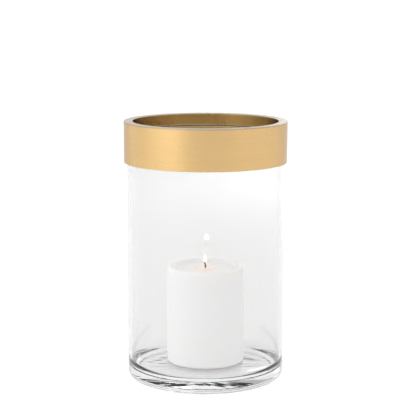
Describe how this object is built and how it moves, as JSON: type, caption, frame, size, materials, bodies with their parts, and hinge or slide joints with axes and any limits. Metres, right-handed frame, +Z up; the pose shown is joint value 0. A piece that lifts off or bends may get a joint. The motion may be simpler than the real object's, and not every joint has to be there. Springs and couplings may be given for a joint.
{
  "type": "hurricane candle lantern",
  "caption": "Clear glass hurricane cylinder with a thick base, a lift-off brushed brass rim ring and a white pillar candle standing inside.",
  "frame": {"origin": "centre of the glass foot, at the height of the table it stands on", "axes": "+Z up along the axis of the glass cylinder; X and Y across it, with the front towards -Y"},
  "size_m": [0.168, 0.168, 0.268],
  "materials": {
    "clear_glass": "clear blown soda-lime glass, polished",
    "brushed_brass": "fine circumferential brushing under clear lacquer, satin",
    "silicone": "dark brown silicone, matte",
    "felt": "pressed wool felt",
    "wax": "white paraffin wax, satin, slightly translucent",
    "wick_cotton": "braided cotton, charred at the free end",
    "tinned_steel": "tinned sheet steel"
  },
  "bodies": {
    "glass": {"glass_cylinder": "clear_glass"},
    "ring": {"rim_outer_band": "brushed_brass", "rim_top_plate": "brushed_brass", "rim_inner_band": "brushed_brass", "rim_seat_plate": "brushed_brass", "rim_cushion": "silicone", "skirt_lining": "felt"},
    "candle": {"candle_body": "wax", "candle_wick": "wick_cotton", "wick_tab": "tinned_steel"}
  },
  "joints": [
    {"name": "ring_lift", "type": "slide", "parent": "glass", "child": "ring", "axis": [0, 0, 1], "range_m": [0, 0.08]},
    {"name": "candle_lift", "type": "slide", "parent": "glass", "child": "candle", "axis": [0, 0, 1], "range_m": [0, 0.275]}
  ]
}
